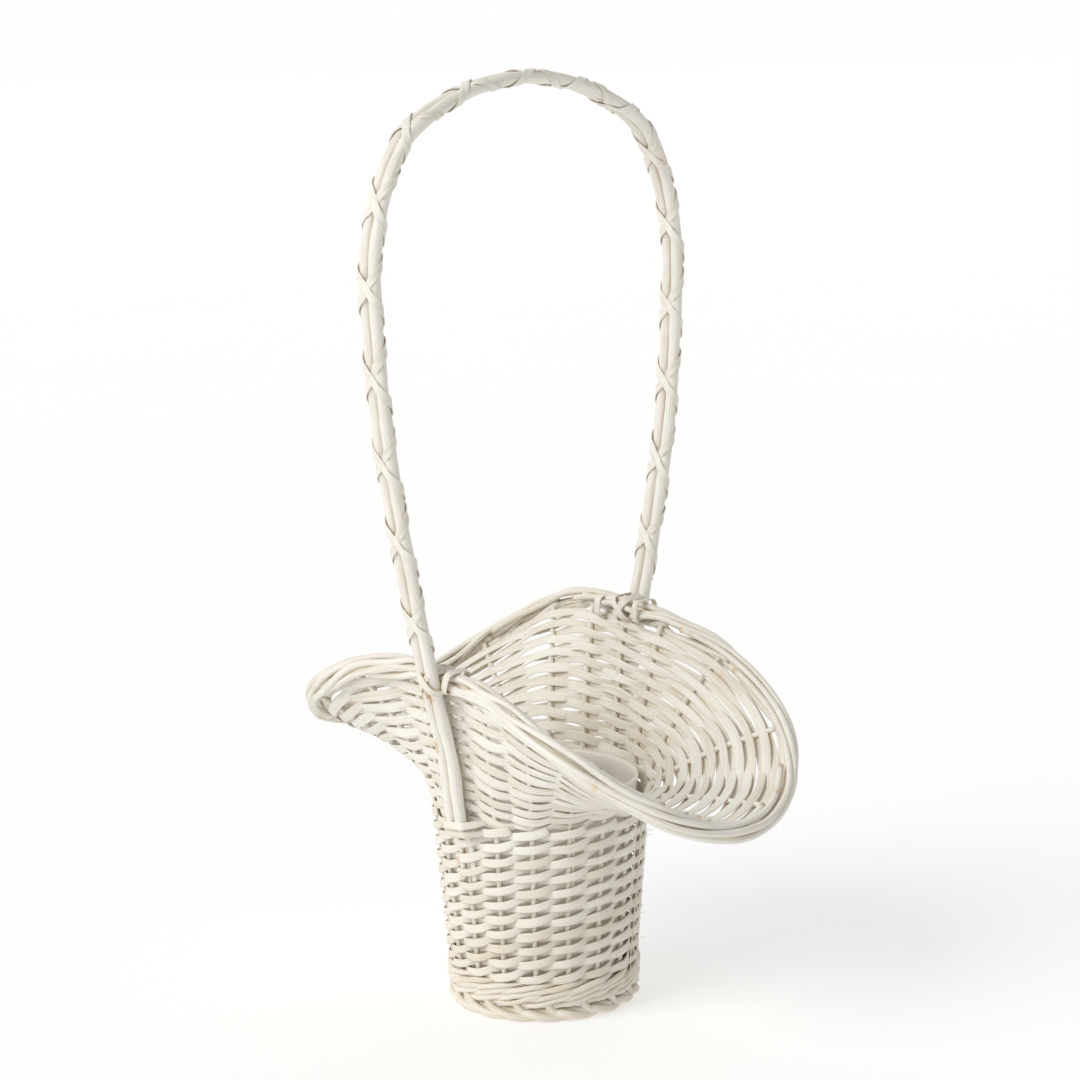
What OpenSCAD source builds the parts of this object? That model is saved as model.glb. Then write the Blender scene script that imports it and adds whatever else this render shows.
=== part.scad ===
// Flower girl basket: a woven body on a plaited foot, a flare that opens into two drooping wings,
// a rolled rim, a tall arched handle of two rods wrapped crosswise, and a loose liner pot.
// Millimetres, +Z up. Origin: centre of the footprint, on the surface that the basket stands on.
// X runs from wing tip to wing tip, Y from one handle foot to the other. Angle 0 is the +X wing.

/* [Body] */
// Outer radius of the weave just above the bottom wale
body_low_r = 43.4; // [43:0.1:44]
// Outer radius of the weave at the throat, where the flare starts
body_high_r = 49.6; // [49:0.1:50.4]
// Height of the throat above the surface
throat_z = 91; // [89:0.5:93]
// Thickness of the woven wall, weavers on both sides of the stakes
wall = 5; // [4.8:0.1:5.2]
// Diameter of a stake, the upright rods that the wall is woven on
stake_d = 2.6; // [2.2:0.1:2.7]

/* [Base and foot] */
// Underside of the woven base above the surface
base_z = 8.8; // [8.6:0.1:9]
// Thickness of the woven base
base_t = 6.4; // [6.2:0.1:6.6]
// Top of the bottom wale
wale_top_z = 16.6; // [16.2:0.1:17]
// Radius of the plaited foot border, at the middle of its rods
foot_r = 38.1; // [37.8:0.1:38.4]
// Diameter of a foot border rod
foot_rod_d = 3; // [2.6:0.1:3]

/* [Rim and wings] */
// Radius of the rim at the wing tips
wing_r = 120.5; // [112:0.5:126]
// Radius of the rim beside the handle
side_r = 59; // [58.5:0.1:60]
// How far the wings are broader than an oval
wing_breadth = 2; // [0:0.1:2.5]
// Mean height of the rim
rim_mean_z = 144.2; // [142:0.2:147]
// How far the wings droop below the mean, and the handle sides rise above it
rim_droop = 27.5; // [24:0.5:29]
// How far the shoulders between wing and handle stand above a plain saddle
rim_shoulder = 7.4; // [4:0.2:8]
// How far the +X wing droops further than the -X wing, each from the middle
wing_lean = 7.4; // [0:0.2:8]
// How far the +Y side of the rim is higher than the -Y side, each from the middle
side_lean = 6.2; // [0:0.2:7]
// Diameter of a rod in the rolled rim
rim_rod_d = 3.4; // [3:0.1:3.4]

/* [Handle] */
// Height of the handle's middle line at the top
handle_top_z = 416.4; // [400:1:430]
// Diameter of a handle rod
handle_rod_d = 5.2; // [4.8:0.1:5.2]
// Advance of a wrap strip for each turn round the handle
wrap_pitch = 36.5; // [34:0.5:40]
// Width of a wrap strip
strip_w = 4; // [3:0.1:4.4]
// Thickness of a wrap strip
strip_t = 0.9; // [0.6:0.1:0.9]

/* [Liner] */
// Outer radius of the liner pot at its mouth
liner_mouth_r = 44.7; // [44:0.1:44.8]
// Height of the liner's mouth above the surface
liner_top_z = 104; // [98:0.5:104]
// Wall of the liner
liner_wall = 1; // [0.8:0.1:1.4]

/* [Hidden] */
$fn = 72;
willow = "#f1ece0";
strip_white = "#f6f2e8";
rod_white = "#ece6d8";
film = "#d9d2c2";
// Small gap left between pieces that lie against each other.
gap = 0.2;

stakes = 18;
stake_step = 360 / stakes;
stake_r = stake_d / 2;
stake_foot_z = base_z + 0.6;
bore_r = stake_r + 0.15;

// Bore lengths run this much past the faces that they cut.
over = 1;

base_r = 37.4;
base_hub_r = 12.5;
stick_d = 2.6;
stick_gap = 3;
stick_reach = 36.4;
stick_low_z = base_z + 1.9;
stick_high_z = stick_low_z + stick_d + 0.1;

foot_rod_r = foot_rod_d / 2;
// How far the inner rod is pressed flat, how much higher the outer and upper rods lie, and how far
// the inner and outer rods stand to each side of the border's middle.
foot_flat = 0.25;
foot_outer_lift = 0.3;
foot_upper_lift = 3.1;
foot_aside = 1.6;
foot_stake_d = 2.4;
foot_stake_top = [41.2, 13.5];
foot_stake_low = [38.3, 6.3];

wale_rounds = 3;
wale_bump_r = 1.3;
wale_half = 2.6;
wale_sink = 0.3;

throat_gap = 0.2;

tail_z = 64;
tail_sink = 0.4;
leg_clear = 0.3;
leg_throat_r = body_high_r + handle_rod_d / 2 + leg_clear;
leg_ease_h = 40;
slype_top = 2;
groove_r = handle_rod_d / 2 + 0.15;
leg_spread = 2.8;
tail_spread = 3.4;
tail_slype = 0.58;

rim_rod_r = rim_rod_d / 2;
rim_side = stake_r + rim_rod_r + 0.15;
rim_row = rim_rod_d + 0.1;
// Each rim rod's place across the border: away from the weave's middle, and out from the border's.
rim_rod_places = [
    [rim_side, -rim_row * 0.75],
    [rim_side, rim_row * 0.25],
    [-rim_side, -rim_row * 0.75],
    [-rim_side, rim_row * 0.25],
    [0, rim_row * 0.78]
];
weave_edge = 4.7;
stake_edge = 0.6;

// Directions in which the meridian meets the rim, above the horizontal.
side_slope = 76;
wing_slope = 8;
wing_slope_lean = 8;
flare_lead = 15;
flare_ease = 0.3;

// Handle outline above the rim: half width and height as a share of the rise to the top.
arch_shape = [[84.5, 0.3], [92.6, 0.55], [91.7, 0.75], [68.8, 0.92]];
arch_steps = 5;
arch_mid_z = rim_mean_z + rim_droop - rim_shoulder;
cross_out = 7.6;
wrap_start = 13;

function unit(v) = v / norm(v);
function polar(a, r, z) = [r * cos(a), r * sin(a), z];

// Body wall: outer and middle radius at a height.
wall_taper = (body_high_r - body_low_r) / (throat_z - wale_top_z);
function body_r(z) = body_low_r + wall_taper * (z - wale_top_z);
function mid_r(z) = body_r(z) - wall / 2;

// Rim: middle of the border, and the direction in which the weave arrives there.
function rim_r(a) =
    (wing_r + side_r) / 2 + (wing_r - side_r) / 2 * cos(2 * a)
    + wing_breadth * (cos(2 * a) - cos(6 * a));
function rim_z(a) =
    rim_mean_z - rim_droop * cos(2 * a) - rim_shoulder * cos(4 * a)
    - wing_lean * cos(a) + side_lean * sin(a);
function rim_point(a) = polar(a, rim_r(a), rim_z(a));
function rim_slope(a) =
    let (w = pow(cos(a), 2))
    side_slope * (1 - w) + wing_slope * w - wing_slope_lean * cos(a) * w;
function rim_arrival(a) = polar(a, cos(rim_slope(a)), sin(rim_slope(a)));
function rim_tangent(a) = unit(rim_point(a + 0.5) - rim_point(a - 0.5));
function rim_normal(a) = unit(cross(rim_tangent(a), rim_arrival(a)));
function rim_outward(a) = cross(rim_normal(a), rim_tangent(a));

// Flare: a point of the weave's middle surface, from the throat (t = 0) to its edge (t = 1).
function bezier(p0, p1, p2, p3, t) =
    pow(1 - t, 3) * p0 + 3 * t * pow(1 - t, 2) * p1 + 3 * t * t * (1 - t) * p2 + pow(t, 3) * p3;
function flare(a, t) =
    let (start = polar(a, mid_r(throat_z), throat_z))
    let (lead = polar(a, mid_r(throat_z + flare_lead), throat_z + flare_lead))
    let (edge = rim_point(a) - weave_edge * rim_arrival(a))
    let (ease = edge - flare_ease * norm(edge - start) * rim_arrival(a))
    bezier(start, lead, ease, edge, t);
function flare_normal(a, t) =
    let (lo = max(0, t - 0.02))
    let (hi = min(1, t + 0.02))
    unit(cross(flare(a + 0.5, t) - flare(a - 0.5, t), flare(a, hi) - flare(a, lo)));

// Sweep: rings of a flat section carried along a path. Each ring's first axis is made square to
// the path, and its second completes the frame.
function along(path, i, closed) =
    let (n = len(path))
    let (before = closed ? (i + n - 1) % n : max(0, i - 1))
    let (after = closed ? (i + 1) % n : min(n - 1, i + 1))
    unit(path[after] - path[before]);
function sweep_rings(path, firsts, section, closed = false, sizes = []) = [
    for (i = [0:len(path) - 1])
        let (t = along(path, i, closed))
        let (u = unit(firsts[i] - (firsts[i] * t) * t))
        let (v = cross(t, u))
        let (k = len(sizes) == 0 ? 1 : sizes[i])
        [for (p = section) path[i] + k * p[0] * u + k * p[1] * v]
];
function ring_section(r, sides) = [
    for (i = [0:sides - 1]) r * [cos(360 * i / sides), sin(360 * i / sides)]
];
function strip_section(t, w) = [[t, w] / 2, [-t, w] / 2, [-t, -w] / 2, [t, -w] / 2];

module skin(rings, closed = false) {
    n = len(rings[0]);
    m = len(rings);
    sides = [
        for (i = [0:(closed ? m : m - 1) - 1], j = [0:n - 1])
            let (a = i * n)
            let (b = ((i + 1) % m) * n)
            let (k = (j + 1) % n)
            each [[a + j, b + j, b + k], [a + j, b + k, a + k]]
    ];
    ends = closed ? [] : [[for (j = [0:n - 1]) j], [for (j = [n - 1:-1:0]) (m - 1) * n + j]];
    polyhedron([for (r = rings) each r], concat(sides, ends), convexity = 10);
}

// Base -----------------------------------------------------------------------------------------

module stick_row(z, d, reach) {
    for (i = [-1.5:1:1.5])
        translate([0, i * stick_gap, z])
            rotate([0, 90, 0])
                cylinder(h = 2 * reach, d = d, center = true, $fn = 24);
}

module base_sticks_lower() {
    color(rod_white) stick_row(stick_low_z, stick_d, stick_reach);
}

module base_sticks_upper() {
    color(rod_white) rotate([0, 0, 90]) stick_row(stick_high_z, stick_d, stick_reach);
}

module base_weave() {
    color(willow)
        difference() {
            translate([0, 0, base_z]) cylinder(h = base_t, r = base_r);
            translate([0, 0, base_z - over]) cylinder(h = base_t + 2 * over, r = base_hub_r);
            stick_row(stick_low_z, stick_d + gap, base_r + over);
            rotate([0, 0, 90]) stick_row(stick_high_z, stick_d + gap, base_r + over);
        }
}

// Foot -----------------------------------------------------------------------------------------

module foot_rod(r, z) {
    color(willow)
        rotate_extrude()
            translate([r, z]) circle(foot_rod_r, $fn = 24);
}

// The inner rod is pressed flat underneath, where the basket stands on it.
module foot_border_inner() {
    r = foot_r - foot_aside;
    color(willow)
        rotate_extrude()
            intersection() {
                translate([r, foot_rod_r - foot_flat]) circle(foot_rod_r, $fn = 24);
                translate([r - foot_rod_d, 0]) square([2 * foot_rod_d, foot_rod_d]);
            }
}

module foot_border_outer() {
    foot_rod(foot_r + foot_aside, foot_rod_r + foot_outer_lift);
}

module foot_border_upper() {
    foot_rod(foot_r, foot_rod_r + foot_upper_lift);
}

// A straight slanted rod in the plane of one angle, between two [radius, height] points.
module slanted(low, high, r, extra = 0) {
    run = high - low;
    translate([low[0], 0, low[1]])
        rotate([0, atan2(run[0], run[1]), 0])
            translate([0, 0, -extra])
                cylinder(h = norm(run) + 2 * extra, r = r, $fn = 24);
}

// Foot stakes stand halfway between the stakes of the wall.
function foot_stake_angle(i) = 90 + (i + 0.5) * stake_step;

module foot_stakes() {
    color(rod_white)
        for (i = [0:stakes - 1])
            rotate([0, 0, foot_stake_angle(i)])
                slanted(foot_stake_low, foot_stake_top, foot_stake_d / 2);
}

// Body -----------------------------------------------------------------------------------------

module stake_bores(low_z, high_z) {
    for (i = [0:stakes - 1])
        rotate([0, 0, 90 + i * stake_step])
            slanted([mid_r(low_z), low_z], [mid_r(high_z), high_z], bore_r, over);
}

module wale_profile() {
    height = wale_top_z - base_z;
    round_h = height / wale_rounds;
    polygon([
        [mid_r(base_z) - wale_half, base_z],
        [mid_r(base_z) + wale_half, base_z],
        [mid_r(wale_top_z) + wale_half, wale_top_z],
        [mid_r(wale_top_z) - wale_half, wale_top_z]
    ]);
    for (i = [0:wale_rounds - 1])
        let (z = base_z + (i + 0.5) * round_h)
            translate([mid_r(z) + wale_half - wale_sink, z]) circle(wale_bump_r, $fn = 24);
}

module bottom_wale() {
    color(willow)
        difference() {
            rotate_extrude() wale_profile();
            stake_bores(base_z, wale_top_z);
            for (i = [0:stakes - 1])
                rotate([0, 0, foot_stake_angle(i)])
                    slanted(foot_stake_low, foot_stake_top, foot_stake_d / 2 + gap / 2, gap);
        }
}

// Groove in the wall's outside for one handle foot, along the slant of the foot.
module leg_groove() {
    run = [leg_throat_r - tail_r(tail_z), throat_z - tail_z];
    translate([tail_r(tail_z), 0, tail_z])
        rotate([0, atan2(run[0], run[1]), 0])
            translate([-groove_r, -groove_r, -over])
                cube([3 * groove_r, 2 * groove_r, norm(run) + 2 * over]);
}

module body_weave() {
    low = wale_top_z + gap;
    high = throat_z - 2 * throat_gap;
    color(willow)
        difference() {
            rotate_extrude()
                polygon([
                    [body_r(low) - wall, low],
                    [body_r(low), low],
                    [body_r(high), high],
                    [body_r(high) - wall, high]
                ]);
            stake_bores(low, high);
            for (side = [-1, 1], x = [-1, 1])
                rotate([0, 0, 90 * side]) translate([0, x * tail_spread, 0]) leg_groove();
        }
}

// Flare weave: a shell with a square channel for each stake. Between two stakes it has a middle
// column; each column of the grid runs from the throat to the edge.
flare_steps = 8;
channel_half = bore_r + 0.05;
function channel_angle(a, t) = asin(channel_half / norm([flare(a, t)[0], flare(a, t)[1]]));
function flare_level(a, t, n) = flare(a, t) + n * flare_normal(a, t);

module flare_weave() {
    levels = [-wall / 2, -channel_half, channel_half, wall / 2];
    // Three columns for each stake: its channel's two walls, then halfway to the next stake.
    columns = 3 * stakes;
    function column_angle(c, t) =
        let (a = 90 + floor(c / 3) * stake_step)
        let (d = channel_angle(a, t))
        [a - d, a + d, a + stake_step / 2][c % 3];
    points = [
        for (c = [0:columns - 1], s = [0:flare_steps], n = levels)
            flare_level(column_angle(c, s / flare_steps), s / flare_steps, n)
    ];
    // Index of a point: its column, its step up the flare and its level through the wall.
    function at(c, s, n) = ((c % columns) * (flare_steps + 1) + s) * 4 + n;
    skins = [
        for (c = [0:columns - 1], s = [0:flare_steps - 1], outer = [0, 1])
            outer == 1
            ? [at(c, s, 3), at(c, s + 1, 3), at(c + 1, s + 1, 3), at(c + 1, s, 3)]
            : [at(c, s, 0), at(c + 1, s, 0), at(c + 1, s + 1, 0), at(c, s + 1, 0)]
    ];
    channels = [
        for (c = [0:3:columns - 1], s = [0:flare_steps - 1])
            each [
                [at(c, s, 2), at(c, s + 1, 2), at(c, s + 1, 1), at(c, s, 1)],
                [at(c + 1, s, 1), at(c + 1, s + 1, 1), at(c + 1, s + 1, 2), at(c + 1, s, 2)],
                [at(c, s, 1), at(c, s + 1, 1), at(c + 1, s + 1, 1), at(c + 1, s, 1)],
                [at(c, s, 2), at(c + 1, s, 2), at(c + 1, s + 1, 2), at(c, s + 1, 2)]
            ]
    ];
    // Each end face, column by column: above and below a channel, and the solid stretches.
    function end_faces(s) = [
        for (c = [0:3:columns - 1])
            each [
                [at(c, s, 2), at(c, s, 3), at(c + 1, s, 3), at(c + 1, s, 2)],
                [at(c, s, 0), at(c, s, 1), at(c + 1, s, 1), at(c + 1, s, 0)],
                [at(c + 1, s, 0), at(c + 1, s, 1), at(c + 2, s, 3), at(c + 2, s, 0)],
                [at(c + 1, s, 1), at(c + 1, s, 2), at(c + 1, s, 3), at(c + 2, s, 3)],
                [at(c + 2, s, 0), at(c + 2, s, 3), at(c + 3, s, 1), at(c + 3, s, 0)],
                [at(c + 2, s, 3), at(c + 3, s, 3), at(c + 3, s, 2), at(c + 3, s, 1)]
            ]
    ];
    faces = concat(skins, channels, end_faces(0), [for (f = end_faces(flare_steps)) turned(f)]);
    // Every face is split across its last corner, so no triangle has its corners in one line.
    color(willow)
        difference() {
            polyhedron(
                points,
                [for (f = faces) each [[f[0], f[1], f[3]], [f[1], f[2], f[3]]]],
                convexity = 10
            );
            lashing_notches();
        }
}

// Stakes ---------------------------------------------------------------------------------------

stake_flare_steps = 9;
function stake_path(a) = concat(
    [polar(a, mid_r(stake_foot_z), stake_foot_z)],
    [for (i = [0:stake_flare_steps]) flare(a, i / stake_flare_steps)],
    [rim_point(a) - stake_edge * rim_arrival(a)]
);

module stake(i) {
    a = 90 + i * stake_step;
    path = stake_path(a);
    side = [-sin(a), cos(a), 0];
    color(rod_white) skin(sweep_rings(path, [for (p = path) side], ring_section(stake_r, 6)));
}

// Rim ------------------------------------------------------------------------------------------

rim_rings = 60;

module rim_rod(i) {
    place = rim_rod_places[i];
    angles = [for (k = [0:rim_rings - 1]) k * 360 / rim_rings];
    path = [for (a = angles) rim_point(a) + place[0] * rim_normal(a) + place[1] * rim_outward(a)];
    firsts = [for (a = angles) rim_normal(a)];
    color(willow) skin(sweep_rings(path, firsts, ring_section(rim_rod_r, 6), true), true);
}

// Handle ---------------------------------------------------------------------------------------

// Middle line of the handle in its own plane, as [distance out, height] points on one side.
function tail_r(z) = body_r(z) + tail_sink;
function in_plane(p) = [norm([p[0], p[1]]), p[2]];
function leg_points(side) =
    let (a = 90 * side)
    let (off = wall / 2 + handle_rod_d / 2 + 2 * gap)
    let (beside = flare(a, 0.5) + off * flare_normal(a, 0.5))
    let (cross_at = rim_point(a) + cross_out * rim_normal(a))
    concat(
        [[tail_r(tail_z), tail_z], [leg_throat_r, throat_z], in_plane(beside), in_plane(cross_at)],
        [for (p = arch_shape) [p[0], arch_mid_z + p[1] * (handle_top_z - arch_mid_z)]]
    );
function mirrored(points, side) = [for (p = points) [side * p[0], p[1]]];
function turned(points) = [for (i = [len(points) - 1:-1:0]) points[i]];
handle_points = concat(
    mirrored(leg_points(-1), -1), [[0, handle_top_z]], turned(leg_points(1))
);

// A smooth curve through the points, with speeds that follow the distances between them.
function curve_speed(k, i) =
    let (lo = max(0, i - 1))
    let (hi = min(len(k) - 1, i + 1))
    (k[hi] - k[lo]) / ((hi > i ? norm(k[hi] - k[i]) : 0) + (lo < i ? norm(k[i] - k[lo]) : 0));
function curve_at(k, i, t) =
    let (d = norm(k[i + 1] - k[i]))
    bezier(
        k[i], k[i] + d / 3 * curve_speed(k, i), k[i + 1] - d / 3 * curve_speed(k, i + 1), k[i + 1], t
    );
handle_line = concat(
    [for (i = [0:len(handle_points) - 2], s = [0:arch_steps - 1])
        curve_at(handle_points, i, s / arch_steps)],
    [handle_points[len(handle_points) - 1]]
);

// The rods stand further apart below the throat, and their tails are cut to a long point.
function leg_spread_at(z) =
    lookup(z, [[throat_z, tail_spread], [throat_z + leg_ease_h, leg_spread]]);
function slype_at(z) = lookup(z, [[tail_z, tail_slype], [throat_z - slype_top, 1]]);

module handle_rod(x) {
    path = [for (p = handle_line) [x * leg_spread_at(p[1]), p[0], p[1]]];
    sizes = [for (p = handle_line) slype_at(p[1])];
    firsts = [for (p = path) [1, 0, 0]];
    color(rod_white)
        skin(sweep_rings(path, firsts, ring_section(handle_rod_d / 2, 8), false, sizes));
}

module handle_rod_back() {
    handle_rod(-1);
}

module handle_rod_front() {
    handle_rod(1);
}

// Distance along the handle's line up to each of its points.
handle_reach = [
    for (i = 0, sum = 0; i < len(handle_line);
        i = i + 1, sum = i < len(handle_line) ? sum + norm(handle_line[i] - handle_line[i - 1]) : sum)
        sum
];
out_table = [for (i = [0:len(handle_line) - 1]) [handle_reach[i], handle_line[i][0]]];
up_table = [for (i = [0:len(handle_line) - 1]) [handle_reach[i], handle_line[i][1]]];
function handle_at(s) = [0, lookup(s, out_table), lookup(s, up_table)];
function handle_normal(s) =
    let (t = unit(handle_at(s + 2) - handle_at(s - 2)))
    cross(t, [1, 0, 0]);
// Stretch of the handle that is wrapped: between the crossings at the rim, a little above each.
cross_i = 3 * arch_steps;
wrap_from = handle_reach[cross_i] + wrap_start;
wrap_to = handle_reach[len(handle_reach) - 1 - cross_i] - wrap_start;

// One turn round the pair of rods: five points over each rod, then across to the other.
turn_points = 10;
function turn_place(k) =
    let (on_front = k % turn_points < 5)
    let (a = on_front ? -90 + 45 * (k % turn_points) : 90 + 45 * (k % turn_points - 5))
    [on_front ? leg_spread : -leg_spread, a];
function turn_share(k, r) =
    let (arc = r * PI / 4)
    let (whole = 8 * arc + 4 * leg_spread)
    let (j = k % turn_points)
    floor(k / turn_points) + (j * arc + (j >= 5 ? 2 * leg_spread - arc : 0)) / whole;

// A wrap keeps to the rods: each of its rings lies along the handle, with its slanted width.
wrap_ring_w = strip_w / sin(atan2(2 * PI * handle_rod_d / 2 + 4 * leg_spread, wrap_pitch));

module handle_wrap(hand, lift) {
    r = handle_rod_d / 2 + lift;
    turns = floor((wrap_to - wrap_from) / wrap_pitch);
    rings = [
        for (k = [0:turns * turn_points - 1])
            let (place = turn_place(k))
            let (middle = wrap_from + turn_share(k, r) * wrap_pitch)
            [
                for (q = strip_section(strip_t, wrap_ring_w))
                    let (s = middle - hand * q[1])
                    let (out = hand * cos(place[1]) * [1, 0, 0] + sin(place[1]) * handle_normal(s))
                    handle_at(s) + hand * place[0] * [1, 0, 0] + (r + q[0]) * out
            ]
    ];
    color(strip_white) skin(rings);
}

module handle_wrap_under() {
    handle_wrap(1, 1.5 * gap + strip_t / 2);
}

module handle_wrap_over() {
    handle_wrap(-1, 2.5 * gap + strip_t * 1.5);
}

// Lashings where the handle crosses the rim: two loops on opposite diagonals round both.
lash_steps = 20;
lash_half = 10.2;
lash_strip_w = 3.4;
lash_clear_in = 1.8;
lash_clear_out = 3.6;
lash_low = lash_half / sqrt(2);

module lashing(side, diagonal, grow) {
    a = 90 * side;
    inner = rim_r(a) - rim_side - rim_rod_d - lash_clear_in - grow;
    outer = rim_r(a) + cross_out + handle_rod_d / 2 + lash_clear_out + grow;
    mid = (inner + outer) / 2;
    half = (outer - inner) / 2;
    square_cos = function (x) sign(cos(x)) * sqrt(abs(cos(x)));
    square_sin = function (x) sign(sin(x)) * sqrt(abs(sin(x)));
    angles = [for (k = [0:lash_steps - 1]) (k + 0.5) * 360 / lash_steps];
    lean = [1, 0, diagonal] / sqrt(2);
    place = function (u, v) u * lean + [0, side * v, rim_z(a)];
    path = [for (k = angles) place(lash_half * square_cos(k), mid + half * square_sin(k))];
    firsts = [for (p = path) p - place(0, mid)];
    skin(sweep_rings(path, firsts, strip_section(strip_t, lash_strip_w), true), true);
}

module rim_lashing(side) {
    color(strip_white) {
        lashing(side, 1, 0);
        lashing(side, -1, strip_t + gap);
    }
}

// Notches in the weave's edge that the lashings pass through, two on each side.
module lashing_notches() {
    notch = [4.2, 5 * wall, 2 * weave_edge];
    for (side = [-1, 1], x = [-1, 1])
        translate([x * lash_low, side * rim_r(90), rim_z(90 * side) - lash_low])
            translate([-notch[0] / 2, -notch[1] / 2, -2])
                cube(notch);
}

// Bindings that hold the handle's feet against the throat.
binding_h = 4.4;
binding_z = throat_z - 1.1 - binding_h;
function stadium(half, r) = [
    for (end = [1, -1], i = [-4:4])
        let (a = end * 90 - 90 + i * 22.5)
        [end * half + r * cos(a), r * sin(a)]
];

module throat_binding(side) {
    leg_slope = (leg_throat_r - tail_r(tail_z)) / (throat_z - tail_z);
    leg_r = leg_throat_r - leg_slope * (throat_z - binding_z - binding_h / 2);
    inside = handle_rod_d / 2 + leg_slope * binding_h / 2 + gap;
    color(strip_white)
        rotate([0, 0, 90 * side - 90])
            translate([0, 0, binding_z])
                linear_extrude(binding_h)
                    difference() {
                        translate([0, leg_r]) polygon(stadium(tail_spread, inside + strip_t));
                        translate([0, leg_r]) polygon(stadium(tail_spread, inside));
                        circle(body_r(binding_z + binding_h) + gap, $fn = 96);
                    }
}

// Liner ----------------------------------------------------------------------------------------

liner_low_r = 36.6;
liner_low_z = base_z + base_t + 2 * gap;
lip = 0.4;
lip_h = 2;

module liner() {
    color(film, 0.8)
        rotate_extrude($fn = 96)
            polygon([
                [0, liner_low_z],
                [liner_low_r, liner_low_z],
                [liner_mouth_r, liner_top_z - lip_h],
                [liner_mouth_r + lip, liner_top_z - lip_h + lip],
                [liner_mouth_r + lip, liner_top_z],
                [liner_mouth_r - liner_wall, liner_top_z],
                [liner_low_r - liner_wall, liner_low_z + liner_wall],
                [0, liner_low_z + liner_wall]
            ]);
}

// Nodes ----------------------------------------------------------------------------------------

function numbered(name, i) = str(name, i < 9 ? "0" : "", i + 1);

base_sticks_lower();
base_sticks_upper();
base_weave();
foot_border_inner();
foot_border_outer();
foot_border_upper();
foot_stakes();
bottom_wale();
body_weave();
flare_weave();
for (i = [0:stakes - 1])
    stake(i);
for (i = [0:len(rim_rod_places) - 1])
    rim_rod(i);
handle_rod_front();
handle_rod_back();
handle_wrap_under();
handle_wrap_over();
rim_lashing(-1);  // rim_lashing_near
rim_lashing(1);  // rim_lashing_far
throat_binding(-1);  // throat_binding_near
throat_binding(1);  // throat_binding_far
liner();
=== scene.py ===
import math

import bpy
import numpy as np
from mathutils import Matrix, Vector


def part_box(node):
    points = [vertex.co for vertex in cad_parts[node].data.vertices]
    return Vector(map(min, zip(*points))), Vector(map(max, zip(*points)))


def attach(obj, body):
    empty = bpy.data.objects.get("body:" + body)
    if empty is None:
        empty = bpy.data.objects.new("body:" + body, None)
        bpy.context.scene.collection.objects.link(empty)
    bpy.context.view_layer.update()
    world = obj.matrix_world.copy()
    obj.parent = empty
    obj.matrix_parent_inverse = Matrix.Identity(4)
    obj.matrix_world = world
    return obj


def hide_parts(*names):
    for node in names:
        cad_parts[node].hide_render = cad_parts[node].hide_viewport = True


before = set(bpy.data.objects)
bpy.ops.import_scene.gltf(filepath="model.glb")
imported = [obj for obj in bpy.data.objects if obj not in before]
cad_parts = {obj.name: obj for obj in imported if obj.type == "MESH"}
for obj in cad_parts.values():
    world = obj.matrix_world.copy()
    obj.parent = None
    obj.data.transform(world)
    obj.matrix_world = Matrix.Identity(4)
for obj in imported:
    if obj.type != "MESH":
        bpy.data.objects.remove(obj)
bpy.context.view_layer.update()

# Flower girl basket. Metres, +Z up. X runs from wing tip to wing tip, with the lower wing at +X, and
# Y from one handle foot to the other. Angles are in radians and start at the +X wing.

TAU = 2 * math.pi
UPWARD = np.array([0.0, 0.0, 1.0])
SIDEWAYS = np.array([1.0, 0.0, 0.0])

# Sizes of the body, read from the frame -------------------------------------------------------

STAKES = sum(name.startswith("stake_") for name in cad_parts)
STEP = TAU / STAKES
FIRST_STAKE = math.pi / 2

BASE_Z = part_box("base_weave")[0].z
BASE_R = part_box("base_weave")[1].x
WALE_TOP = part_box("bottom_wale")[1].z
THROAT_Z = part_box("body_weave")[1].z + 0.0004
HIGH_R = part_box("body_weave")[1].x
FOOT_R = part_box("foot_border_upper")[1].x + 0.0008

# Sizes that the frame's boxes don't give, as they are in the CAD part ----------------------------

LOW_R = 0.0434
WALL = 0.005
STAKE_R = 0.0013
STRIP_T = 0.0009

WING_R = 0.1205
SIDE_R = 0.059
WING_BREADTH = 0.002
RIM_Z = 0.1442
RIM_DROOP = 0.0275
RIM_SHOULDER = 0.0074
WING_LEAN = 0.0074
SIDE_LEAN = 0.0062
SIDE_SLOPE = math.radians(76)
WING_SLOPE = math.radians(8)
FLARE_LEAD = 0.015
FLARE_EASE = 0.3
WEAVE_EDGE = 0.0047
STAKE_EDGE = 0.0006

ROD_R = 0.0026
ROD_ASIDE = 0.0028
HANDLE_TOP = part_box("handle_rod_front")[1].z - ROD_R
LEG_R = HIGH_R + ROD_R + 0.0003
TAIL_Z = 0.064
CROSS_OUT = 0.0076
ARCH = ((0.0845, 0.3), (0.0926, 0.55), (0.0917, 0.75), (0.0688, 0.92))
WRAP_PITCH = 0.0365
WRAP_START = 0.013

LINER_LOW_R = 0.0366
LINER_MOUTH_R = 0.0447

# Sizes of the finished look. The flare's rows and sag are matched ----------------------------------

BODY_ROWS = 22
BODY_STRIP_W = 0.0041
FLARE_ROWS = 22
FLARE_SAG = 0.07
FLARE_STRIP_W = 0.0052
FLARE_STRIP_MIN_W = 0.0035
WING_SHIFT = 0.0038

WALE_ROUNDS = 3
WALE_ROD = 0.0027
FOOT_ROD = 0.0038
FOOT_STAKES = 3.2

STICK_REACH = 0.0362
STICK_GAP = 0.003
STICK = 0.0025
SPOKE_STEP = math.radians(22.5)
PAIRING_ROUNDS = 11
PAIRING_ROD = 0.0021
HUB_ROD = 0.0019

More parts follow.
